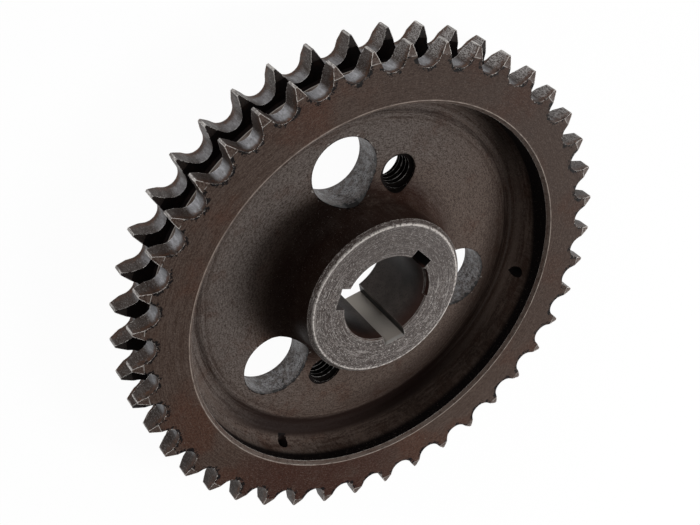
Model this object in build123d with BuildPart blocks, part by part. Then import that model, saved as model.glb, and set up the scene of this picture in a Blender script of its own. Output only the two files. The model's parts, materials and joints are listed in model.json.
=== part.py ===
"""Duplex chain sprocket: 42 teeth in two rows for 3/8 inch roller chain (ISO 606, 06B-2).

One piece of steel: a rim with both rows of teeth, a thick web that is set towards the
back, and a keyed hub that stands just proud of the rim in front. The Z axis is the axis
of rotation and +Z points out of the dished front. The origin is on the axis, in the back
face of the hub, and +Y runs through the first keyway and the middle of a tooth.
"""
import os
from math import cos, degrees, radians, sin

from build123d import *

# ---- Chain that the teeth fit, mm ----
chain_pitch = 9.525
roller_diameter = 6.35
row_spacing = 10.24          # between the middles of the two rows

# ---- Teeth ----
tooth_count = 42
tooth_addendum = 2.57        # from the pitch circle out to the tips
row_width = 5.2              # width of each row, between the chain's inner plates
seat_angle = 136.0           # how far the roller seat wraps round the roller
seat_clearance = 0.06        # seat radius over the roller's
flank_radius = 42.0
bevel_depth = 0.9            # side relief of a tooth, along the axis, at its tip

# ---- Rim ----
groove_diameter = 117.8      # floor of the groove between the rows
rim_inner_diameter = 102.9
rim_front = 20.3             # height of the front tooth face
rim_chamfer = 0.85
oil_hole_diameter = 3.2
oil_hole_angles = (48.9, 152.0)

# ---- Web ----
web_back = 1.4
web_thickness = 8.2
rim_cove = 5.6               # radius of the hollow between web and rim
hub_cove = 6.0               # radius of the hollow between web and hub
cove_bands = 5               # each cove is turned as this many narrow cones
back_boss_diameter = 98.0    # the web stands out behind the rim up to here

# ---- Hub ----
hub_length = 22.4
hub_diameter = 44.0
hub_front_chamfer = 1.1
hub_back_chamfer = 0.6
bore_diameter = 24.0
bore_chamfer = 0.4
keyway_count = 3
keyway_width = 6.0
keyway_floor = 14.4          # from the axis
worn_lip_depth = 1.5         # a stretch of the bore's mouth is worn away
worn_lip_width = 0.6
worn_lip_start = 153.0
worn_lip_arc = 41.0

# ---- Holes in the web ----
window_count = 3
window_diameter = 18.0
window_to_hub = 0.95         # between a window and the hub's outside
window_start = 27.3          # direction of the first window
puller_thread_diameter = 10.0
puller_to_hub = 1.85
puller_start = 57.3
puller_countersink = 0.6

# ---- Worked out from the above ----
pitch_radius = chain_pitch / 2 / sin(radians(180 / tooth_count))
tip_radius = pitch_radius + tooth_addendum
groove_radius = groove_diameter / 2
rim_inner_radius = rim_inner_diameter / 2
hub_radius = hub_diameter / 2
bore_radius = bore_diameter / 2
seat_radius = roller_diameter / 2 + seat_clearance
web_front = web_back + web_thickness
window_circle_radius = hub_radius + window_to_hub + window_diameter / 2
puller_circle_radius = hub_radius + puller_to_hub + puller_thread_diameter / 2
cove_inner_radius = rim_inner_radius - rim_cove
rim_back = rim_front - row_spacing - row_width
groove_middle = rim_front - (row_width + row_spacing) / 2
first_tooth = 90.0


def row_corners(front):
    """Corners of one row of teeth in the half section, from its back inner edge to its front one."""
    back = front - row_width
    return [
        (pitch_radius, back),
        (tip_radius, back + bevel_depth),
        (tip_radius, front - bevel_depth),
        (pitch_radius, front),
    ]


def cove_corners(centre_radius, centre_height, radius, start):
    """Corners of a quarter-round hollow, clockwise from this direction about its centre."""
    turns = [radians(start - 90 * step / cove_bands) for step in range(cove_bands + 1)]
    return [(centre_radius + radius * cos(turn), centre_height + radius * sin(turn)) for turn in turns]


# Half section of the turned blank: r runs along X and the height along Z.
with BuildSketch(Plane.XZ) as half_section:
    with BuildLine():
        Polyline(
            (bore_radius, 0),
            (hub_radius, 0),
            (hub_radius, web_back),
            (back_boss_diameter / 2, web_back),
            (back_boss_diameter / 2 + rim_back - web_back, rim_back),
            *row_corners(rim_front - row_spacing),
            (groove_radius, rim_front - row_spacing),
            (groove_radius, rim_front - row_width),
            *row_corners(rim_front),
            (rim_inner_radius, rim_front),
            *cove_corners(cove_inner_radius, web_front + rim_cove, rim_cove, 360),
            *cove_corners(hub_radius + hub_cove, web_front + hub_cove, hub_cove, 270),
            (hub_radius, hub_length),
            (bore_radius, hub_length),
            close=True,
        )
    make_face()

    def corner(radius, height):
        """The corner of the half section at this place."""
        return half_section.vertices().sort_by_distance(Vector(radius, height))[0]

    chamfer(corner(rim_inner_radius, rim_front), rim_chamfer)
    chamfer(corner(hub_radius, hub_length), hub_front_chamfer)
    chamfer(corner(hub_radius, 0), hub_back_chamfer)
    chamfer(corner(bore_radius, hub_length), bore_chamfer)
    chamfer(corner(bore_radius, 0), bore_chamfer)

# The gap between two teeth, on +X: a roller seat, and a flank each side that bulges
# towards the gap. It runs out past the tip circle.
flank_sweep = degrees(1.5 * (tip_radius - pitch_radius + seat_radius) / flank_radius)
with BuildSketch() as tooth_gap:
    with BuildLine() as gap_line:
        seat = CenterArc((pitch_radius, 0), seat_radius, 180 - seat_angle / 2, seat_angle)
        seat_end = 180 - seat_angle / 2
        flank_centre = Vector(pitch_radius, 0) + Vector(seat_radius + flank_radius, 0).rotate(Axis.Z, seat_end)
        flank = CenterArc(flank_centre, flank_radius, seat_end - 180, flank_sweep)
        mirror(flank, about=Plane.XZ)
        Line(flank @ 1, (flank @ 1).rotate(Axis.X, 180))
    make_face()

with BuildPart() as sprocket:
    revolve(half_section.sketch, axis=Axis.Z)

    # Teeth of both rows, cut in line with each other.
    with BuildSketch():
        with PolarLocations(0, tooth_count, start_angle=first_tooth + 180 / tooth_count):
            add(tooth_gap.sketch)
    extrude(amount=rim_front, mode=Mode.SUBTRACT)

    # Windows through the web. Each cuts into the foot of the hub cove.
    with BuildSketch():
        with PolarLocations(window_circle_radius, window_count, start_angle=window_start):
            Circle(window_diameter / 2)
    extrude(amount=hub_length, mode=Mode.SUBTRACT)

    # Threaded puller holes, to the root of the thread, each with a countersunk mouth that is
    # cut on up through the foot of the hub cove.
    with BuildSketch():
        with PolarLocations(puller_circle_radius, 2, start_angle=puller_start):
            Circle(puller_thread_diameter / 2)
    extrude(amount=hub_length, mode=Mode.SUBTRACT)
    with BuildSketch(Plane.XY.offset(web_front)) as puller_mouths:
        with PolarLocations(puller_circle_radius, 2, start_angle=puller_start):
            Circle(puller_thread_diameter / 2 + puller_countersink)
    extrude(amount=hub_cove, mode=Mode.SUBTRACT)
    extrude(puller_mouths.sketch, amount=-puller_countersink, taper=45, mode=Mode.SUBTRACT)

    # Keyways along the whole bore.
    with BuildSketch():
        with PolarLocations(0, keyway_count, start_angle=first_tooth):
            Rectangle(keyway_floor, keyway_width, align=(Align.MIN, Align.CENTER))
    extrude(amount=hub_length, mode=Mode.SUBTRACT)

    # Worn stretch of the bore's mouth.
    with BuildSketch(Plane.XZ.rotated((0, 0, worn_lip_start))):
        with Locations((bore_radius, hub_length)):
            Rectangle(2 * worn_lip_width, 2 * worn_lip_depth)
    revolve(axis=Axis.Z, revolution_arc=worn_lip_arc, mode=Mode.SUBTRACT)

    # Oil holes from the groove between the rows into the dished front.
    for angle in oil_hole_angles:
        with BuildSketch(Plane.YZ.rotated((0, 0, angle)).offset(cove_inner_radius)):
            with Locations((0, groove_middle)):
                Circle(oil_hole_diameter / 2)
        extrude(amount=tip_radius - cove_inner_radius, mode=Mode.SUBTRACT)

os.makedirs("parts", exist_ok=True)
sprocket.part.label = "sprocket"
export_step(sprocket.part, "parts/sprocket.step")
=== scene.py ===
"""The looks of the duplex chain sprocket: dark oiled steel, turned, oxidised and worn.

The CAD solid keeps its shape. Its faces are sorted into regions by where they lie and which
way they face, and each region gets its own procedural finish. The threads of the puller
holes and the lips at their mouths are modelled here, and one lip closes its hole over on one
side as a sheet that stands in for shade. Chips, burrs and scratches are colour and bump.
Several finishes are lighter or darker towards one side or in hollows: some of that is stain
and oil, and much is painted light and shade, fixed on the part.

Lengths in named values are in millimetres and directions in degrees, and everything that is
built is in metres.
"""

import json
from math import cos, hypot, pi, radians, sin

import bpy
from mathutils import Matrix, Vector, noise


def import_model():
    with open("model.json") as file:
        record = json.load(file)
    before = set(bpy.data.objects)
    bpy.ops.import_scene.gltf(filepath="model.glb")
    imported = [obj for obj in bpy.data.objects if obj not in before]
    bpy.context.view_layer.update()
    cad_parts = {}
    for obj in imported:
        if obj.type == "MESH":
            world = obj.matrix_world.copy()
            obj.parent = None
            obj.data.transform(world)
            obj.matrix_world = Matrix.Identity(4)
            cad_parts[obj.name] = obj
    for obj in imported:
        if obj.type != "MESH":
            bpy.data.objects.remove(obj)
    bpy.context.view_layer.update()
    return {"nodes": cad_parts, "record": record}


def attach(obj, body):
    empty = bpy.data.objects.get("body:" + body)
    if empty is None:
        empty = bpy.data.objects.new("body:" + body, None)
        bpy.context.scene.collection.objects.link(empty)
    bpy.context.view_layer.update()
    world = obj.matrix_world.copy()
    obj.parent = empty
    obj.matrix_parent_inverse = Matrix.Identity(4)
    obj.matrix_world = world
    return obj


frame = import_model()

MM = 0.001
sprocket = frame["nodes"]["sprocket"]
mounts = {mount["name"]: mount for mount in frame["record"]["mounts"]}

# ---- Sizes of the part, from its record and its source ----
bore_radius = mounts["bore"]["dims"]["r_mm"]
window_radius = mounts["windows"]["dims"]["hole_r_mm"]
window_circle = mounts["windows"]["dims"]["pcd_mm"] / 2
window_count = mounts["windows"]["dims"]["count"]
puller_radius = mounts["puller_threads"]["dims"]["hole_r_mm"]
puller_circle = mounts["puller_threads"]["dims"]["pcd_mm"] / 2
puller_count = mounts["puller_threads"]["dims"]["count"]
hub_top = mounts["hub_front"]["pos_m"][2] / MM
hub_radius = 22.0
hub_chamfer = 1.1
hub_cove = 6.0
cove_bands = 5
keyway_floor = 14.4
keyway_side = 3.0            # from a keyway's middle to its side wall
rim_top = 20.3
rim_bottom = 4.86
rim_inner_radius = 51.45
rim_chamfer = 0.85
groove_radius = 58.9
groove_bottom = 10.06
groove_top = 15.1
groove_step = 11.6           # the strip of painted light on the groove's floor starts at this height
tooth_count = 42
seat_radius = 3.235
root_radius = 60.5
pitch_radius = 63.73
tip_radius = 66.3
web_front = 9.6
web_back = 1.4
oil_hole_radius = 1.6
oil_hole_height = 12.58

# ---- Directions of its features, round the axis from +X ----
first_tooth = 90
first_keyway = 90
second_keyway = 210
window_start = 27.3
puller_start = 57.3
oil_holes = (48.9, 152.0)

# ---- Directions of stain, bare steel and painted light and shade in its finishes, round the axis from +X ----
rim_red_side = 58
rim_shade_side = 195
flank_lit_side = 222
dish_bare_and_sheen_side = 305
dish_shade_side = 125
hub_shadow_side = 318
cove_dark_side = 72
wall_shade_side = 215
hub_shade_side = 240
bore_lit_side = 108

# ---- View of the photograph ----
view_azimuth = 25.19         # from -Y towards +X
view_elevation = 45.33
view_roll = 134.24
view_distance = 323.2
view_aim = (1.36, -3.15, 7.61)
view_lens = 65.26
sensor_width = 36


def circle_centres(circle, count, start):
    """Centres of holes set round the axis, in mm."""
    turns = [radians(start + 360 * number / count) for number in range(count)]
    return [Vector((circle * cos(turn), circle * sin(turn), 0)) for turn in turns]


window_centres = circle_centres(window_circle, window_count, window_start)
puller_centres = circle_centres(puller_circle, puller_count, puller_start)


# ======== Node helpers ========

class Surface:
    """A material's node tree, with short calls for the nodes that the finishes share.

    Places, distances and depths are in mm. A share is a number from 0 to 1."""

    def __init__(self, name):
        self.material = bpy.data.materials.new(name)
        self.material.use_nodes = True
        self.tree = self.material.node_tree
        self.shader = self.tree.nodes["Principled BSDF"]
        place = self.tree.nodes.new("ShaderNodeTexCoord").outputs["Object"]
        self.place = self.vector("SCALE", place, scale=1 / MM)
        split = self.tree.nodes.new("ShaderNodeSeparateXYZ")
        self.tree.links.new(self.place, split.inputs[0])
        self.x, self.y, self.z = split.outputs
        self.radius = self.distance(self.x, self.y)

    def feed(self, socket, value):
        """Links a socket to the value, or sets it."""
        if isinstance(value, bpy.types.NodeSocket):
            self.tree.links.new(value, socket)
        else:
            socket.default_value = value

    def math(self, operation, first, second=0.0):
        """The number that an operation makes of one or two numbers."""
        made = self.tree.nodes.new("ShaderNodeMath")
        made.operation = operation
        self.feed(made.inputs[0], first)
        self.feed(made.inputs[1], second)
        return made.outputs[0]

    def vector(self, operation, first, second=None, scale=None, output="Vector"):
        """What an operation makes of one or two vectors. A length or dot product is its Value output."""
        made = self.tree.nodes.new("ShaderNodeVectorMath")
        made.operation = operation
        self.feed(made.inputs[0], first)
        if second is not None:
            self.feed(made.inputs[1], second)
        if scale is not None:
            self.feed(made.inputs["Scale"], scale)
        return made.outputs[output]

    def both(self, first, second):
        """The product of two shares, which is 1 only where both are."""
        return self.math("MULTIPLY", first, second)

    def distance(self, along, across):
        """How far away a place is that lies this far along and this far across."""
        squares = self.math("ADD", self.math("MULTIPLY", along, along),
                            self.math("MULTIPLY", across, across))
        return self.math("SQRT", squares)

    def away(self, value, centre):
        """How far the value is from the centre, either way."""
        return self.math("ABSOLUTE", self.math("SUBTRACT", value, centre))

    def ramp(self, value, low, high, to_low=0.0, to_high=1.0):
        """The value moved from one range to another, held at its ends, and smooth between."""
        made = self.tree.nodes.new("ShaderNodeMapRange")
        made.interpolation_type = "SMOOTHSTEP"
        self.feed(made.inputs["Value"], value)
        self.feed(made.inputs["From Min"], low)
        self.feed(made.inputs["From Max"], high)
        self.feed(made.inputs["To Min"], to_low)
        self.feed(made.inputs["To Max"], to_high)
        return made.outputs["Result"]

    def near(self, value, centre, reach):
        """1 where the value is at the centre, falling to 0 at this reach."""
        return self.ramp(self.away(value, centre), 0.0, reach, 1.0, 0.0)

    def mix(self, share, first, second):
        """Colour first where the share is 0 and second where it is 1."""
        made = self.tree.nodes.new("ShaderNodeMix")
        made.data_type = "RGBA"
        self.feed(made.inputs["Factor"], share)
        self.feed(made.inputs["A"], first)
        self.feed(made.inputs["B"], second)
        return made.outputs["Result"]

    def coat(self, colour, second, pattern, start, full, most=1.0):
        """The colour, with a second one laid over it as the pattern goes from start to full.

        Most is the share of the second colour where the pattern is full."""
        return self.mix(self.ramp(pattern, start, full, 0.0, most), colour, second)

    def noise(self, size, detail=3.0, roughness=0.55, place=None, stretch=None):
        """Noise from 0 to 1 whose blotches are about this size."""
        at = self.place if place is None else place
        if stretch is not None:
            at = self.vector("MULTIPLY", at, stretch)
        made = self.tree.nodes.new("ShaderNodeTexNoise")
        self.feed(made.inputs["Vector"], at)
        made.inputs["Scale"].default_value = 1 / size
        made.inputs["Detail"].default_value = detail
        made.inputs["Roughness"].default_value = roughness
        return made.outputs["Fac"]

    def turning(self, width, length):
        """Streaks round the axis, about this wide and this long, from 0 to 1."""
        join = self.tree.nodes.new("ShaderNodeCombineXYZ")
        self.feed(join.inputs[0], self.math("DIVIDE", self.radius, width))
        self.feed(join.inputs[1], self.math("DIVIDE", self.x, length))
        self.feed(join.inputs[2], self.math("DIVIDE", self.y, length))
        return self.noise(1.0, 2.0, place=join.outputs[0])

    def worn_edge(self, reach, sharp=0.84):
        """1 on edges, within this reach, and 0 on open faces. A blunt edge needs a sharp near 1."""
        open_face = 0.985
        rounded = self.tree.nodes.new("ShaderNodeBevel")
        rounded.samples = 4
        rounded.inputs["Radius"].default_value = reach * MM
        here = self.tree.nodes.new("ShaderNodeNewGeometry")
        alike = self.vector("DOT_PRODUCT", rounded.outputs["Normal"], here.outputs["Normal"],
                            output="Value")
        return self.ramp(alike, open_face, sharp)

    def from_seat(self):
        """Distance from the wall of the nearest roller seat, seen along the axis."""
        pitch = 2 * pi / tooth_count
        turn = self.math("SUBTRACT", self.math("ARCTAN2", self.y, self.x), radians(first_tooth))
        fold = self.math("SUBTRACT", self.math("FLOORED_MODULO", turn, pitch), pitch / 2)
        outward = self.math("MULTIPLY", self.radius, self.math("COSINE", fold))
        along = self.math("SUBTRACT", outward, pitch_radius)
        across = self.math("MULTIPLY", self.radius, self.math("SINE", fold))
        return self.math("SUBTRACT", self.distance(along, across), seat_radius)

    def from_windows(self):
        """Distance from the wall of the nearest window, seen along the axis."""
        nearest = None
        for hole in window_centres:
            offset = self.vector("SUBTRACT", self.place, tuple(hole))
            level = self.vector("MULTIPLY", offset, (1.0, 1.0, 0.0))
            reach = self.vector("LENGTH", level, output="Value")
            nearest = reach if nearest is None else self.math("MINIMUM", nearest, reach)
        return self.math("SUBTRACT", nearest, window_radius)

    def facing(self, direction, narrow, wide):
        """1 within a narrow angle of this direction from the axis, and 0 beyond a wide one, in degrees."""
        along = self.math("ADD", self.math("MULTIPLY", self.x, cos(radians(direction))),
                          self.math("MULTIPLY", self.y, sin(radians(direction))))
        straight = self.math("DIVIDE", along, self.radius)
        return self.ramp(straight, cos(radians(wide)), cos(radians(narrow)))

    def bump(self, heights):
        """Joins bumps, given as (height from 0 to 1, its depth), and feeds the shader's normal."""
        normal = None
        for height, depth in heights:
            made = self.tree.nodes.new("ShaderNodeBump")
            made.inputs["Strength"].default_value = 1.0
            made.inputs["Distance"].default_value = depth * MM
            self.feed(made.inputs["Height"], height)
            if normal is not None:
                self.feed(made.inputs["Normal"], normal)
            normal = made.outputs["Normal"]
        self.feed(self.shader.inputs["Normal"], normal)

    def finish(self, colour, roughness, metallic=0.0, specular=0.5):
        """Feeds the shader and returns the material."""
        self.feed(self.shader.inputs["Base Color"], colour)
        self.feed(self.shader.inputs["Roughness"], roughness)
        self.feed(self.shader.inputs["Metallic"], metallic)
        self.shader.inputs["Specular IOR Level"].default_value = specular
        return self.material


# ======== Finishes ========

def tone(red, green, blue):
    """An opaque colour."""
    return (red, green, blue, 1)


brown = tone(0.062, 0.038, 0.029)
dark_brown = tone(0.028, 0.015, 0.010)
rust_brown = tone(0.068, 0.028, 0.017)
grey_steel = tone(0.098, 0.078, 0.068)
pale_steel = tone(0.210, 0.185, 0.170)
bright_steel = tone(0.480, 0.450, 0.420)
# Black of old oil, chips and burrs, and also of painted shade on shaded walls, keyways and hollows.
oil_and_shade_black = tone(0.004, 0.003, 0.003)


def rim_face_finish():
    """Turned face of the rim: brown oxide, finely streaked round the axis, with nicks along the seats and
    painted shade on one side.
    """
    s = Surface("rim face, turned and browned")
    streak = s.turning(0.24, 7.0)
    short_streak = s.turning(0.26, 0.8)
    patch = s.noise(16.0, 4.0)
    grain = s.noise(0.30, 2.0, 0.8)

    # Oxide, with patches of rust, a reddish side, and painted shade that darkens another side.
    colour = s.coat(tone(0.053, 0.034, 0.026), tone(0.078, 0.055, 0.045), streak, 0.38, 0.62)
    colour = s.coat(colour, rust_brown, patch, 0.44, 0.66, 0.7)
    reddish = s.both(s.facing(rim_red_side, 8, 34), s.ramp(s.noise(7.0, 3.0), 0.25, 0.5, 0.4, 0.9))
    colour = s.mix(reddish, colour, tone(0.040, 0.014, 0.009))
    colour = s.coat(colour, dark_brown, s.facing(rim_shade_side, 10, 95), 0.0, 1.0, 0.42)

    # Streaks and grain, some darker than the oxide and some lighter.
    colour = s.coat(colour, tone(0.022, 0.012, 0.009), short_streak, 0.52, 0.66, 0.55)
    colour = s.coat(colour, tone(0.115, 0.086, 0.071), short_streak, 0.44, 0.34, 0.4)
    colour = s.coat(colour, tone(0.018, 0.010, 0.008), grain, 0.54, 0.66, 0.6)
    colour = s.coat(colour, tone(0.125, 0.096, 0.080), grain, 0.43, 0.33, 0.5)
    colour = s.coat(colour, pale_steel, s.noise(0.40, 2.0), 0.70, 0.76, 0.6)

    # Black nicks and bright burrs along the seats.
    from_seat = s.from_seat()
    ragged = s.math("ADD", from_seat, s.ramp(s.noise(1.5, 4.0, 0.75), 0.40, 0.60, 0.42, -1.0))
    colour = s.coat(colour, oil_and_shade_black, ragged, 0.16, 0.04)
    burr = s.both(s.near(from_seat, 0.12, 0.22), s.ramp(s.noise(0.5, 2.0), 0.60, 0.66))
    colour = s.mix(burr, colour, bright_steel)

    # Bare steel where the face meets the tooth relief, on edges, and round the rim's inside.
    outer_line = s.both(s.near(s.radius, pitch_radius, 0.24), s.ramp(s.noise(1.4, 2.0), 0.40, 0.55))
    colour = s.mix(outer_line, colour, bright_steel)
    worn = s.both(s.worn_edge(0.22), s.ramp(s.noise(0.7, 2.0), 0.46, 0.64, 0.0, 0.6))
    colour = s.mix(worn, colour, bright_steel)
    inner_line = s.both(s.near(s.radius, rim_inner_radius + rim_chamfer, 0.34),
                        s.ramp(s.noise(2.6, 3.0), 0.30, 0.58, 0.35, 1.0))
    colour = s.mix(inner_line, colour, tone(0.34, 0.28, 0.24))
    s.bump([(streak, 0.010), (grain, 0.03), (s.noise(2.5, 2.0), 0.03)])
    return s.finish(colour, s.ramp(streak, 0.3, 0.7, 0.46, 0.58), 0.0, 0.035)


def relief_finish(name, face, patches):
    """Side relief of the teeth: a smooth face, rubbed bright along its edges."""
    s = Surface(name)
    grain = s.noise(0.4, 3.0, 0.7)
    colour = s.coat(face, patches, grain, 0.38, 0.64)
    worn = s.both(s.worn_edge(0.38), s.ramp(s.noise(0.9, 2.0), 0.36, 0.48))
    colour = s.mix(worn, colour, tone(0.90, 0.85, 0.80))
    s.bump([(grain, 0.03)])
    return s.finish(colour, 0.45, 0.0, 0.12)


def seat_finish():
    """Roller seats and flanks: grey where the chain ran, with painted sheen, browned at the sides, with
    painted light on the flanks of one side and painted highlights on the tips, and burrs at the face.
    """
    s = Surface("tooth seats, rubbed by the chain")
    along = s.noise(0.8, 3.0, 0.7, stretch=(1.0, 1.0, 0.3))
    fine = s.noise(0.22, 2.0, 0.7, stretch=(1.0, 1.0, 0.35))
    pits = s.noise(0.42, 2.0)
    specks = s.noise(0.8, 3.0, 0.7)
    from_side = s.math("MINIMUM", s.math("SUBTRACT", rim_top, s.z), s.away(s.z, rim_bottom))
    colour = s.coat(tone(0.066, 0.053, 0.047), tone(0.036, 0.026, 0.022), along, 0.34, 0.64)
    colour = s.coat(colour, dark_brown, fine, 0.54, 0.66, 0.7)
    colour = s.coat(colour, tone(0.26, 0.24, 0.23), fine, 0.44, 0.34, 0.55)

    # Polished bare by the rollers at the bottom of the seat, with painted sheen, most of all in the front
    # row.
    low_seat = s.ramp(s.radius, root_radius + 1.3, root_radius + 0.1)
    rubbed = s.both(low_seat, s.ramp(from_side, 0.5, 2.0))
    front_row = s.ramp(s.z, groove_bottom, groove_top, 0.5, 1.0)
    polish_and_sheen = s.both(s.both(rubbed, front_row), s.ramp(along, 0.30, 0.62, 1.0, 0.55))
    colour = s.mix(polish_and_sheen, colour, tone(0.38, 0.385, 0.405))

    # Flanks lit by painted light on one side of the part, and pits.
    flanks = s.ramp(s.radius, root_radius + 1.0, root_radius + 2.5)
    lit_side = s.both(s.facing(flank_lit_side, 12, 45), flanks)
    lit_flanks = s.both(lit_side, s.ramp(fine, 0.58, 0.42, 0.1, 0.9))
    colour = s.mix(lit_flanks, colour, tone(0.36, 0.34, 0.33))
    colour = s.coat(colour, dark_brown, pits, 0.64, 0.71, 0.85)

    # Brown oxide and rust towards the front and back faces of the rim.
    browned = s.ramp(s.noise(1.2, 4.0, 0.7), 0.34, 0.52, 0.1, 0.95)
    colour = s.mix(s.both(s.ramp(from_side, 2.4, 0.5), browned), colour, tone(0.056, 0.031, 0.021))
    rusty = s.ramp(s.noise(0.8, 4.0, 0.75), 0.50, 0.62, 0.0, 0.8)
    colour = s.mix(s.both(s.ramp(from_side, 3.4, 0.4), rusty), colour, tone(0.100, 0.044, 0.024))

    # Tips that are bare and carry a painted highlight, black burrs at the front face, and bare edges.
    tip = s.ramp(s.radius, tip_radius - 0.35, tip_radius - 0.1)
    colour = s.mix(s.both(tip, s.ramp(along, 0.40, 0.55, 1.0, 0.3)), colour, tone(0.50, 0.475, 0.455))
    burr_start = s.ramp(specks, 0.36, 0.52, rim_top - 0.9, rim_top + 0.3)
    burr_full = s.ramp(specks, 0.36, 0.52, rim_top - 0.7, rim_top + 0.4)
    colour = s.coat(colour, oil_and_shade_black, s.z, burr_start, burr_full)
    worn = s.both(s.worn_edge(0.34), s.ramp(specks, 0.46, 0.57, 0.0, 0.95))
    colour = s.mix(worn, colour, tone(0.90, 0.86, 0.82))
    s.bump([(along, 0.02), (fine, 0.02), (pits, 0.04)])
    return s.finish(colour, s.ramp(along, 0.3, 0.7, 0.38, 0.50), 0.35, 0.15)


def groove_finish():
    """Groove between the rows: black with old oil and painted shade, with a strip of painted light on the
    floor beside the front row.
    """
    s = Surface("groove, black with oil and shade")
    film = s.noise(2.0, 3.0)
    # Black, as old oil and painted shade.
    colour = s.coat(oil_and_shade_black, tone(0.010, 0.006, 0.005), film, 0.45, 0.75)
    # A strip of painted light on the floor beside the front row, with a painted highlight along its edge.
    on_floor = s.both(s.ramp(s.radius, groove_radius + 0.12, groove_radius + 0.04),
                      s.ramp(s.radius, groove_radius - 0.12, groove_radius - 0.04))
    lit_strip = s.both(on_floor, s.ramp(s.z, groove_step, groove_step + 0.15))
    browned = s.coat(tone(0.070, 0.052, 0.043), tone(0.150, 0.125, 0.112), s.turning(0.3, 6.0), 0.4, 0.6)
    colour = s.mix(lit_strip, colour, browned)
    highlight_line = s.both(on_floor, s.near(s.z, groove_step + 0.1, 0.22))
    colour = s.mix(highlight_line, colour, tone(0.40, 0.36, 0.33))
    s.bump([(film, 0.04)])
    return s.finish(colour, 0.65, 0.0, 0.03)


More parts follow.
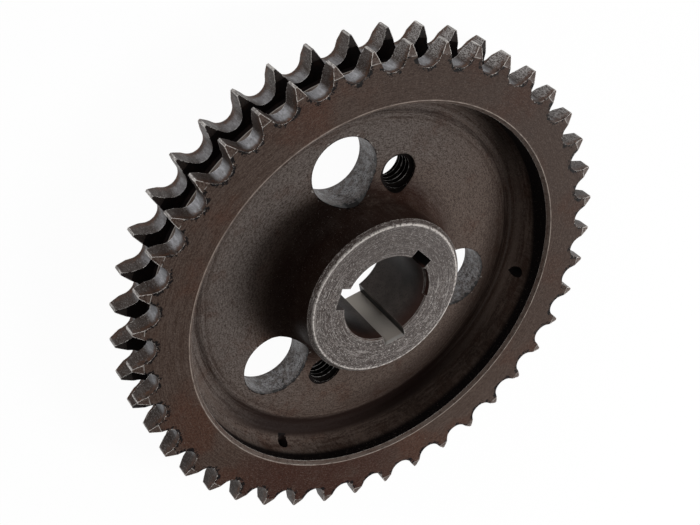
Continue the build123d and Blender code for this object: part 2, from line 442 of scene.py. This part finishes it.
def dish_finish():
    """Web, coves and wall of the dished front: sand-like grain, ringed by the turning, dark by the hub,
    with painted sheen, shade and shadow.
    """
    s = Surface("dish, grainy and browned")
    grain = s.noise(0.46, 3.0, 0.8)
    fine = s.noise(0.26, 2.0, 0.7)
    patch = s.noise(9.0, 4.0, 0.65)
    rings = s.turning(0.34, 8.0)
    brushed = s.turning(0.28, 1.1)
    by_rim = s.ramp(s.radius, 40.0, 45.0)
    by_hub = s.ramp(s.radius, 31.0, 24.0)
    turned = s.math("MAXIMUM", by_rim, by_hub)

    # Oxide, with a side that is partly bare and partly painted sheen, patches of rust, and a side darkened
    # by painted shade.
    bare = s.both(s.facing(dish_bare_and_sheen_side, 45, 125), s.ramp(s.radius, 28.0, 36.0, 0.0, 0.9))
    colour = s.mix(bare, tone(0.113, 0.084, 0.070), tone(0.150, 0.126, 0.114))
    colour = s.coat(colour, rust_brown, patch, 0.50, 0.70, 0.5)
    darkened = s.both(s.facing(dish_shade_side, 25, 75), s.ramp(s.radius, 36.0, 42.0, 0.0, 0.6))
    colour = s.mix(darkened, colour, tone(0.016, 0.007, 0.005))

    # Grain and brushing.
    colour = s.coat(colour, tone(0.026, 0.017, 0.013), grain, 0.42, 0.62, 0.7)
    colour = s.coat(colour, tone(0.020, 0.012, 0.009), brushed, 0.52, 0.66, 0.5)
    lighter = s.coat(tone(0.140, 0.112, 0.098), tone(0.190, 0.165, 0.150), bare, 0.0, 0.7)
    light_brushing = s.both(s.ramp(brushed, 0.44, 0.34, 0.0, 0.4), s.ramp(darkened, 0.1, 0.5, 1.0, 0.4))
    colour = s.mix(light_brushing, colour, lighter)

    # Fine rings of the turning by the rim and the hub, and broad rings up the rim's cove that are partly
    # turning marks and partly painted shade and highlight.
    dark_rings = s.both(turned, s.ramp(rings, 0.5, 0.66, 0.0, 0.55))
    colour = s.mix(dark_rings, colour, tone(0.026, 0.013, 0.009))
    light_rings = s.both(turned, s.ramp(rings, 0.46, 0.34, 0.0, 0.5))
    colour = s.mix(light_rings, colour, tone(0.098, 0.070, 0.057))
    broad_rings = (          # radius, reach, share and tone of each
        (43.4, 0.7, 0.4, dark_brown),
        (45.4, 1.3, 0.7, tone(0.012, 0.006, 0.004)),
        (46.9, 0.5, 0.45, grey_steel),
        (47.7, 0.5, 0.5, dark_brown),
        (49.0, 1.2, 0.5, tone(0.112, 0.083, 0.069)),
    )
    for radius, reach, share, ring_tone in broad_rings:
        ring = s.both(s.near(s.radius, radius, reach), s.ramp(rings, 0.3, 0.6, 0.5 * share, share))
        colour = s.mix(ring, colour, ring_tone)

    # Painted shade in the rim's cove, and painted shade that makes the wall black above a height, which is
    # lower on one side.
    shadow = s.both(s.facing(cove_dark_side, 25, 62),
                    s.ramp(s.away(s.radius, 47.2), 1.7, 3.2, 0.92, 0.0))
    colour = s.mix(shadow, colour, tone(0.009, 0.004, 0.003))
    dark_wall = s.facing(wall_shade_side, 25, 72)
    wall_start = s.ramp(dark_wall, 0.0, 1.0, 15.2, 12.4)
    wall_full = s.ramp(dark_wall, 0.0, 1.0, 17.2, 14.4)
    wall = s.both(s.ramp(s.z, wall_start, wall_full), s.ramp(s.radius, 30.0, 40.0))
    colour = s.mix(wall, colour, oil_and_shade_black)

    # Dark round the hub as old oil and painted shade, with a painted shadow of the hub on one side.
    hub_oil_and_shade = s.both(by_hub, s.ramp(s.noise(6.0, 3.0), 0.2, 0.6, 0.3, 0.8))
    colour = s.mix(hub_oil_and_shade, colour, tone(0.016, 0.006, 0.004))
    hub_shadow = s.both(s.ramp(s.radius, 31.5, 24.0), s.facing(hub_shadow_side, 20, 75))
    colour = s.mix(s.math("MULTIPLY", hub_shadow, 0.75), colour, tone(0.006, 0.003, 0.002))

    # Ragged black outlines and bright burrs round the windows, and the finest grain.
    from_windows = s.from_windows()
    outline = s.ramp(s.noise(1.3, 3.0, 0.75), 0.46, 0.64, 0.02, 0.75)
    colour = s.coat(colour, oil_and_shade_black, from_windows, outline, 0.0)
    burr = s.both(s.near(from_windows, 0.4, 0.35), s.ramp(s.noise(1.4, 3.0), 0.60, 0.66, 0.0, 0.7))
    colour = s.mix(burr, colour, bright_steel)
    light_grain = s.both(s.ramp(fine, 0.64, 0.72, 0.0, 0.6), s.ramp(shadow, 0.0, 0.8, 1.0, 0.0))
    colour = s.mix(light_grain, colour, tone(0.175, 0.145, 0.128))
    colour = s.coat(colour, oil_and_shade_black, fine, 0.36, 0.30, 0.7)
    s.bump([(grain, 0.05), (fine, 0.03), (s.both(rings, turned), 0.05)])
    return s.finish(colour, s.ramp(grain, 0.3, 0.7, 0.42, 0.58), 0.0, 0.02)


def edge_finish(name, rubbed):
    """A chamfer or broken edge rubbed to bare steel here and there."""
    s = Surface(name)
    rub = s.turning(0.12, 4.0)
    spots = s.noise(1.1, 3.0)
    colour = s.coat(brown, rubbed, rub, 0.35, 0.6)
    colour = s.coat(colour, dark_brown, spots, 0.5, 0.68, 0.75)
    worn = s.both(s.worn_edge(0.25, 0.93), s.ramp(s.noise(1.6, 3.0), 0.36, 0.56, 0.2, 0.9))
    colour = s.mix(worn, colour, bright_steel)
    s.bump([(rub, 0.02), (spots, 0.03)])
    return s.finish(colour, 0.5, 0.0, 0.12)


def hub_face_finish():
    """Face and edge of the hub: bare grey steel, with many short bright scratches round the axis and
    painted shade on one side.
    """
    s = Surface("hub face, scratched bare")
    streak = s.turning(0.2, 0.9)
    long_scratch = s.turning(0.16, 7.0)
    broad = s.turning(1.1, 6.0)
    cross = s.noise(0.30, 3.0, 0.8)
    patch = s.noise(3.2, 3.0, 0.65)
    colour = s.coat(tone(0.088, 0.069, 0.061), tone(0.042, 0.028, 0.023), patch, 0.36, 0.60)
    colour = s.coat(colour, tone(0.130, 0.111, 0.102), broad, 0.42, 0.62, 0.6)

    # Dark scratches, bright ones over them, and painted shade that darkens one side.
    colour = s.coat(colour, tone(0.008, 0.005, 0.004), cross, 0.48, 0.39, 0.95)
    colour = s.coat(colour, tone(0.018, 0.012, 0.009), streak, 0.44, 0.36, 0.75)
    colour = s.coat(colour, tone(0.016, 0.010, 0.008), long_scratch, 0.42, 0.34, 0.7)
    colour = s.coat(colour, tone(0.40, 0.37, 0.35), streak, 0.58, 0.68, 0.85)
    colour = s.coat(colour, tone(0.38, 0.35, 0.33), long_scratch, 0.60, 0.68, 0.7)
    colour = s.coat(colour, tone(0.42, 0.39, 0.37), cross, 0.57, 0.67, 0.85)
    colour = s.coat(colour, tone(0.60, 0.56, 0.53), s.noise(0.6, 3.0, 0.7), 0.64, 0.72, 0.8)
    colour = s.coat(colour, tone(0.030, 0.020, 0.016), s.facing(hub_shade_side, 15, 100), 0.0, 1.0, 0.42)

    # Rubbed rings along the outer and the inner edge.
    outer_ring = s.both(s.near(s.radius, hub_radius - hub_chamfer - 0.05, 0.5),
                        s.ramp(s.noise(0.7, 3.0, 0.75), 0.38, 0.52))
    colour = s.mix(outer_ring, colour, tone(0.66, 0.61, 0.57))
    inner_ring = s.both(s.near(s.radius, bore_radius + 0.25, 0.3),
                        s.ramp(s.noise(0.9, 3.0, 0.75), 0.46, 0.56))
    colour = s.mix(inner_ring, colour, tone(0.44, 0.41, 0.38))
    worn = s.both(s.worn_edge(0.3, 0.93), s.ramp(s.noise(0.8, 2.0), 0.42, 0.58, 0.0, 0.8))
    colour = s.mix(worn, colour, bright_steel)
    s.bump([(streak, 0.035), (cross, 0.055)])
    return s.finish(colour, s.ramp(cross, 0.35, 0.7, 0.42, 0.56), 0.0, 0.14)


def bore_finish():
    """Bore and keyways: smooth dark steel, reddish near the mouth, with painted light on one side and
    painted light and shade in the keyways.
    """
    s = Surface("bore, smooth and dark")
    film = s.noise(2.5, 3.0)
    fine = s.noise(0.35, 2.0)
    colour = s.coat(tone(0.031, 0.021, 0.018), tone(0.013, 0.008, 0.006), film, 0.35, 0.7)
    # Painted light on one side of the bore's wall.
    lit_side = s.both(s.facing(bore_lit_side, 12, 52), s.ramp(s.z, 21.0, 12.0))
    lit_wall = s.both(lit_side, s.ramp(film, 0.3, 0.7, 1.0, 0.6))
    colour = s.mix(lit_wall, colour, tone(0.135, 0.112, 0.100))
    colour = s.coat(colour, oil_and_shade_black, fine, 0.52, 0.66, 0.5)
    colour = s.coat(colour, tone(0.050, 0.020, 0.014), s.z, hub_top - 6.0, hub_top - 0.5, 0.6)

    # Painted shade makes the second keyway black; the first has a floor lit by painted light, a grey mouth,
    # and one wall made black by painted shade.
    keyways = s.ramp(s.radius, bore_radius + 0.4, bore_radius + 0.9)
    in_second = s.both(keyways, s.facing(second_keyway, 30, 50))
    colour = s.mix(in_second, colour, oil_and_shade_black)
    in_first = s.both(keyways, s.facing(first_keyway, 30, 50))
    lit_floor = s.both(in_first, s.ramp(s.z, 17.0, 3.0, 0.3, 1.0))
    colour = s.mix(lit_floor, colour, tone(0.85, 0.79, 0.71))
    key_mouth = s.both(in_first, s.ramp(s.z, hub_top - 1.5, hub_top - 0.7))
    colour = s.mix(key_mouth, colour, tone(0.40, 0.38, 0.36))
    black_wall = s.both(in_first, s.ramp(s.x, 0.15 - keyway_side, 0.05 - keyway_side))
    colour = s.mix(black_wall, colour, oil_and_shade_black)
    colour = s.mix(s.math("MULTIPLY", s.worn_edge(0.2), 0.35), colour, bright_steel)
    s.bump([(fine, 0.02)])
    return s.finish(colour, 0.38, 0.12, 0.1)


def window_finish():
    """Walls of the windows: drilled grey steel, bluish and pitted, darker brown towards the mouth and the
    back.
    """
    s = Surface("window walls, drilled and pitted")
    cloud = s.noise(1.7, 4.0, 0.7)
    grain = s.noise(0.46, 3.0, 0.8)
    pits = s.noise(0.75, 2.0)
    colour = s.coat(tone(0.235, 0.230, 0.235), tone(0.090, 0.074, 0.068), cloud, 0.40, 0.60)
    colour = s.coat(colour, tone(0.026, 0.019, 0.017), grain, 0.52, 0.62, 0.9)
    colour = s.coat(colour, tone(0.42, 0.41, 0.41), grain, 0.43, 0.33, 0.6)
    colour = s.coat(colour, tone(0.010, 0.006, 0.005), pits, 0.61, 0.66, 0.95)
    colour = s.coat(colour, tone(0.045, 0.030, 0.024), s.z, web_front - 2.4, web_front + 0.4, 0.6)

    # A ragged black edge at the mouth, which rises where the window cuts into the hub's cove.
    mouth_rise = s.ramp(s.radius, hub_radius + 5.5, hub_radius + 2.0, 0.0, 1.2)
    mouth_height = s.math("ADD", web_front, mouth_rise)
    ragged = s.math("ADD", mouth_height, s.ramp(s.noise(1.3, 3.0, 0.75), 0.38, 0.58, 0.0, -1.0))
    colour = s.coat(colour, oil_and_shade_black, s.math("SUBTRACT", s.z, ragged), -0.12, 0.1)
    colour = s.coat(colour, dark_brown, s.z, web_back + 1.0, web_back + 0.1, 0.5)
    s.bump([(cloud, 0.04), (grain, 0.03), (pits, 0.06)])
    return s.finish(colour, 0.45, 0.4)


def thread_finish():
    """Threads of the puller holes: black."""
    s = Surface("thread, black")
    film = s.noise(0.9, 2.0)
    colour = s.coat(oil_and_shade_black, tone(0.009, 0.007, 0.006), film, 0.4, 0.7)
    s.bump([(film, 0.02)])
    return s.finish(colour, 0.7, 0.0, 0.02)


def crest_finish():
    """The crest of a thread, rubbed bare, with a painted highlight."""
    s = Surface("thread crest, rubbed, with painted highlight")
    colour = s.coat(tone(0.52, 0.50, 0.48), tone(0.03, 0.027, 0.025), s.noise(1.5, 3.0), 0.42, 0.56)
    s.bump([(s.noise(0.3, 2.0), 0.02)])
    return s.finish(colour, 0.5, 0.1, 0.15)


def back_finish():
    """The hidden back: the same turned and browned steel, plain."""
    s = Surface("back, turned and browned")
    streak = s.turning(0.3, 9.0)
    grain = s.noise(0.4, 3.0)
    colour = s.coat(brown, tone(0.085, 0.066, 0.057), streak, 0.35, 0.7)
    colour = s.coat(colour, dark_brown, s.noise(12.0, 4.0), 0.45, 0.75, 0.6)
    colour = s.coat(colour, dark_brown, grain, 0.52, 0.68, 0.6)
    colour = s.mix(s.math("MULTIPLY", s.worn_edge(0.22), 0.5), colour, pale_steel)
    s.bump([(streak, 0.02), (grain, 0.03)])
    return s.finish(colour, 0.52, 0.0, 0.1)


# ======== Regions of the solid ========

upright_limit = 0.3          # the normal's rise is below this on upright faces
flat_limit = 0.95            # and above this on flat ones
height_slack = 0.1           # a face's centre may lie this far below or above a limit
wall_slack = 0.2             # and this far past a radius
window_slack = 0.5
oil_hole_slack = 0.25
groove_slack = 0.3
rim_slack = 0.5
countersink_reach = 0.8      # the countersink of a puller hole lies within this of its wall
relief_reach = 1.0           # the inner relief lies within this of the groove
dish_wall = 47               # the oil holes open outside this radius
weld_reach = 1e-6            # in metres
crisp_angle = 30


def region(centre, normal):
    """The name of the region that a face belongs to, from its centre in mm and its normal."""
    radius = hypot(centre.x, centre.y)
    height = centre.z
    upright = abs(normal.z) < upright_limit
    flat = abs(normal.z) > flat_limit
    for hole in window_centres:
        if upright and abs((centre - hole).xy.length - window_radius) < window_slack:
            return "window"
    for hole in puller_centres:
        from_hole = (centre - hole).xy.length
        if from_hole < puller_radius + wall_slack and upright:
            return "puller"
        if from_hole < puller_radius + countersink_reach and not flat:
            return "dish"
    for direction in oil_holes:
        # This is the distance from a line through the axis, so a face across the axis passes too.
        turn = radians(direction)
        across = centre.y * cos(turn) - centre.x * sin(turn)
        from_hole = hypot(across, height - oil_hole_height)
        if radius > dish_wall and from_hole < oil_hole_radius + oil_hole_slack:
            return "groove"
    if radius < keyway_floor + wall_slack and not (flat and height > hub_top - height_slack):
        return "bore" if upright else "bore edge"
    if radius < hub_radius and height > hub_top - hub_chamfer - height_slack:
        return "hub face"
    if radius > root_radius - wall_slack and upright:
        return "seat"
    by_groove = groove_bottom - height_slack < height < groove_top + height_slack
    if by_groove and radius > groove_radius - groove_slack:
        return "groove" if flat or upright else "relief"
    if radius > pitch_radius and not flat:
        inner = groove_bottom - relief_reach < height < groove_top + relief_reach
        return "inner relief" if inner else "relief"
    if radius > rim_inner_radius + rim_chamfer and height > rim_top - height_slack:
        return "rim face"
    if radius > rim_inner_radius and height > rim_top - rim_chamfer - height_slack:
        return "rim edge"
    if height > web_front - height_slack and radius < rim_inner_radius + rim_slack:
        return "dish"
    return "back"


finishes = {
    "rim face": rim_face_finish(),
    "rim edge": edge_finish("rim edge, rubbed", tone(0.100, 0.078, 0.066)),
    "relief": relief_finish("tooth relief, browned", tone(0.095, 0.068, 0.056), dark_brown),
    "inner relief": relief_finish("inner tooth relief, oily", tone(0.022, 0.014, 0.011), oil_and_shade_black),
    "seat": seat_finish(),
    "groove": groove_finish(),
    "dish": dish_finish(),
    "hub face": hub_face_finish(),
    "bore": bore_finish(),
    "bore edge": edge_finish("bore edge, rubbed", tone(0.20, 0.18, 0.17)),
    "window": window_finish(),
    "puller": thread_finish(),
    "back": back_finish(),
}


def dress(node):
    """Gives each face of the CAD node the finish of its region, and smooth shading with crisp edges."""
    mesh = node.data
    mesh.materials.clear()
    slots = {}
    for name, material in finishes.items():
        slots[name] = len(mesh.materials)
        mesh.materials.append(material)
    for face in mesh.polygons:
        face.material_index = slots[region(face.center / MM, face.normal)]
        face.use_smooth = True
    if "custom_normal" in mesh.attributes:
        mesh.attributes.remove(mesh.attributes["custom_normal"])
    weld = node.modifiers.new("join faces", "WELD")
    weld.merge_threshold = weld_reach
    crisp = node.modifiers.new("crisp edges", "EDGE_SPLIT")
    crisp.split_angle = radians(crisp_angle)


dress(sprocket)


# ======== Threads and mouths of the puller holes ========

thread_pitch = 1.5
thread_depth = 0.95          # from the root, which is the solid hole's wall, to the crest
thread_crest = 0.22          # width of the flat crest
thread_root_gap = 0.12       # between the feet of two turns
thread_sink = 0.01           # how far the feet reach into the solid
thread_start = 0.5           # the thread starts this part of a turn above the back of the web
thread_stop = 0.12           # and stops this part of a turn below its front
thread_run_out = 0.35        # the part of a turn over which a thread end fades out
thread_least = 0.02          # the part of its size that is left at that end
thread_end = 120             # direction in which a thread runs out at the mouth
thread_steps = 48            # in one turn

mouth_width = 0.62           # the lip covers the solid's countersink
mouth_depth = 0.92           # how far the lip's wall reaches down into the hole
mouth_gap = 0.02             # between the lip's wall and the hole's
mouth_below = 0.012          # the lip lies this far below the web and the cove
mouth_edge = 0.08            # height of the bevel along the lip's edge
mouth_wear = 0.16            # how far the ragged edge of the lip is worn back
mouth_steps = 120            # round the hole
wear_circle = 2.2            # the wear is read from noise round a circle of this radius,
wear_height = 3.0            # at this height,
wear_scale = 1.6             # with places multiplied by this
lip_overhangs = (1.25, 0.0)  # how far each mouth is closed over on one side, a sheet that stands in for shade
overhang_turn = -88          # direction of that side


def web_height(radius):
    """Height in mm of the web and of the banded hub cove at this distance from the axis."""
    turns = [pi / 2 * band / cove_bands for band in range(cove_bands + 1)]
    corners = [(hub_radius + hub_cove * (1 - cos(turn)), web_front + hub_cove * (1 - sin(turn)))
               for turn in turns]
    for (low, low_height), (high, high_height) in zip(corners, corners[1:]):
        if radius < high:
            return low_height + (high_height - low_height) * (radius - low) / (high - low)
    return web_front


def piece(name, vertices, faces, materials):
    """Makes an object from vertices in mm, which rides on the part."""
    mesh = bpy.data.meshes.new(name)
    mesh.from_pydata([tuple(value * MM for value in vertex) for vertex in vertices], [], faces)
    for material in materials:
        mesh.materials.append(material)
    made = bpy.data.objects.new(name, mesh)
    bpy.context.scene.collection.objects.link(made)
    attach(made, "root")
    return made


def thread(name, centre):
    """A helical ridge inside a hole, from the back face to just below the mouth, where it fades out."""
    low = web_back + thread_start * thread_pitch
    high = web_front - thread_stop * thread_pitch
    turns = (high - low) / thread_pitch
    steps = int(turns * thread_steps)
    start = radians(thread_end) - 2 * pi * turns
    foot = (thread_pitch - thread_root_gap) / 2
    outer = puller_radius + thread_sink

    # Four vertices at each step: the lower foot, the crest's two edges and the upper foot.
    vertices = []
    for step in range(steps + 1):
        turn = step / thread_steps
        fade = max(thread_least, min(1.0, (turns - turn) / thread_run_out))
        height = low + turn * thread_pitch
        around = start + 2 * pi * turn
        crest = puller_radius - thread_depth * fade
        section = ((outer, -foot * fade), (crest, -thread_crest / 2 * fade),
                   (crest, thread_crest / 2 * fade), (outer, foot * fade))
        for radius, rise in section:
            x = centre.x + radius * cos(around)
            y = centre.y + radius * sin(around)
            vertices.append((x, y, height + rise))
    faces = []
    for step in range(steps):
        here = 4 * step
        for side in range(4):
            after = (side + 1) % 4
            faces.append((here + side, here + after, here + 4 + after, here + 4 + side))
    faces += [(3, 2, 1, 0), tuple(4 * steps + side for side in range(4))]
    made = piece(name, vertices, faces, [finishes["puller"], crest_material])
    for number, face in enumerate(made.data.polygons):
        face.material_index = 1 if number % 4 == 1 and number < 4 * steps else 0


def mouth(name, centre, overhang):
    """A ragged lip in the mouth of a puller hole, flush with the web and with the foot of the hub cove.

    The lip hangs over the hole by up to this much on the side towards overhang_turn, as a sheet that stands
    in for the shade seen through the hole."""
    outer = puller_radius + mouth_width

    # Four vertices at each step: the wall's foot, its bevelled top, and the lip's middle and outside.
    vertices = []
    for step in range(mouth_steps):
        turn = 2 * pi * step / mouth_steps
        hang = overhang * max(0.0, cos(turn - radians(overhang_turn)))
        spot = Vector((centre.x + wear_circle * cos(turn), centre.y + wear_circle * sin(turn), wear_height))
        wear = mouth_wear * max(0.0, noise.noise(spot * wear_scale))
        inner = puller_radius + mouth_gap + wear - hang
        lip = []
        for radius in (inner, (inner + outer) / 2, outer):
            x = centre.x + radius * cos(turn)
            y = centre.y + radius * sin(turn)
            lip.append((x, y, web_height(hypot(x, y)) - mouth_below))
        edge_x, edge_y, edge_height = lip[0]
        vertices.append((edge_x, edge_y, web_front - mouth_depth))
        vertices += [(edge_x, edge_y, edge_height - mouth_edge), lip[1], lip[2]]
    faces = []
    for step in range(mouth_steps):
        here = 4 * step
        after = 4 * ((step + 1) % mouth_steps)
        for side in range(3):
            faces.append((here + side, after + side, after + side + 1, here + side + 1))
    made = piece(name, vertices, faces, [finishes["puller"], finishes["dish"]])
    for number, face in enumerate(made.data.polygons):
        face.material_index = 0 if number % 3 == 0 else 1


crest_material = crest_finish()
for number, centre in enumerate(puller_centres, 1):
    thread(f"puller_thread_{number}", centre)
    mouth(f"puller_mouth_{number}", centre, lip_overhangs[number - 1])


# ======== Studio ========

floor_reach = 6.0            # from the axis to a side of the floor, in metres
floor_gap = 0.05             # between the floor and the hub's back face
floor_glow = 0.97            # how much of the floor glows, where it is seen


def floor_finish(share):
    """White floor: this share glows to the camera and in reflections, and the rest takes the shadow."""
    material = bpy.data.materials.new("studio floor")
    material.use_nodes = True
    tree = material.node_tree
    tree.nodes.clear()
    output = tree.nodes.new("ShaderNodeOutputMaterial")
    matt = tree.nodes.new("ShaderNodeBsdfDiffuse")
    matt.inputs["Color"].default_value = tone(0.9, 0.9, 0.9)
    glow = tree.nodes.new("ShaderNodeEmission")
    glow.inputs["Color"].default_value = tone(1, 1, 1)
    glow.inputs["Strength"].default_value = 1.0
    blend = tree.nodes.new("ShaderNodeMixShader")
    part = tree.nodes.new("ShaderNodeMath")
    part.operation = "MULTIPLY"
    part.inputs[1].default_value = share
    tree.links.new(seen_directly(tree), part.inputs[0])
    tree.links.new(part.outputs[0], blend.inputs[0])
    tree.links.new(matt.outputs[0], blend.inputs[1])
    tree.links.new(glow.outputs[0], blend.inputs[2])
    tree.links.new(blend.outputs[0], output.inputs["Surface"])
    return material


def seen_directly(tree):
    """1 for what the camera sees, in a mirror or through glass too, and 0 for what lights the scene."""
    path = tree.nodes.new("ShaderNodeLightPath")
    first = tree.nodes.new("ShaderNodeMath")
    first.operation = "MAXIMUM"
    tree.links.new(path.outputs["Is Camera Ray"], first.inputs[0])
    tree.links.new(path.outputs["Is Glossy Ray"], first.inputs[1])
    second = tree.nodes.new("ShaderNodeMath")
    second.operation = "MAXIMUM"
    tree.links.new(first.outputs[0], second.inputs[0])
    tree.links.new(path.outputs["Is Transmission Ray"], second.inputs[1])
    return second.outputs[0]


def floor():
    """A wide floor just below the part, so that it and the hub's back face don't share a plane."""
    height = -floor_gap * MM
    corners = [(x * floor_reach, y * floor_reach, height) for x, y in ((-1, -1), (1, -1), (1, 1), (-1, 1))]
    mesh = bpy.data.meshes.new("floor")
    mesh.from_pydata(corners, [], [(0, 1, 2, 3)])
    mesh.materials.append(floor_finish(floor_glow))
    made = bpy.data.objects.new("floor", mesh)
    bpy.context.scene.collection.objects.link(made)


def world(light):
    """White where it is seen, and this strength where it lights the part."""
    made = bpy.data.worlds.new("studio")
    bpy.context.scene.world = made
    made.use_nodes = True
    tree = made.node_tree
    background = tree.nodes["Background"]
    background.inputs["Color"].default_value = tone(1, 1, 1)
    strength = tree.nodes.new("ShaderNodeMapRange")
    strength.inputs["To Min"].default_value = light
    strength.inputs["To Max"].default_value = 1.0
    tree.links.new(seen_directly(tree), strength.inputs["Value"])
    tree.links.new(strength.outputs[0], background.inputs["Strength"])


def lamp(name, azimuth, elevation, distance, size, power):
    """An area lamp in this direction from the part, turned to it. Azimuth 0 is +X and 90 is +Y.

    The distance and the size are in metres and the power in watts."""
    light = bpy.data.lights.new(name, "AREA")
    light.shape = "DISK"
    light.size = size
    light.energy = power
    made = bpy.data.objects.new(name, light)
    bpy.context.scene.collection.objects.link(made)
    turn = radians(azimuth)
    across = cos(radians(elevation))
    toward = Vector((cos(turn) * across, sin(turn) * across, sin(radians(elevation))))
    made.location = toward * distance
    made.rotation_euler = toward.to_track_quat("Z", "Y").to_euler()


def camera():
    """The photograph's camera, with the photograph's roll."""
    azimuth = radians(view_azimuth)
    elevation = radians(view_elevation)
    back = Vector((sin(azimuth) * cos(elevation), -cos(azimuth) * cos(elevation), sin(elevation)))
    data = bpy.data.cameras.new("camera")
    data.lens = view_lens
    data.sensor_width = sensor_width
    data.clip_start = 0.01
    data.clip_end = 100
    made = bpy.data.objects.new("camera", data)
    bpy.context.scene.collection.objects.link(made)
    turn = back.to_track_quat("Z", "Y").to_matrix() @ Matrix.Rotation(radians(view_roll), 3, "Z")
    made.matrix_world = Matrix.Translation((Vector(view_aim) + back * view_distance) * MM) @ turn.to_4x4()
    bpy.context.scene.camera = made


bpy.context.scene.view_settings.view_transform = "Standard"
floor()
world(light=0.02)
lamp("key", azimuth=145, elevation=43, distance=0.7, size=0.26, power=4.35)
lamp("camera side", azimuth=-68, elevation=16, distance=0.9, size=0.3, power=3.0)
lamp("overhead", azimuth=210, elevation=62, distance=0.8, size=0.4, power=1.1)
camera()

bpy.context.view_layer.update()
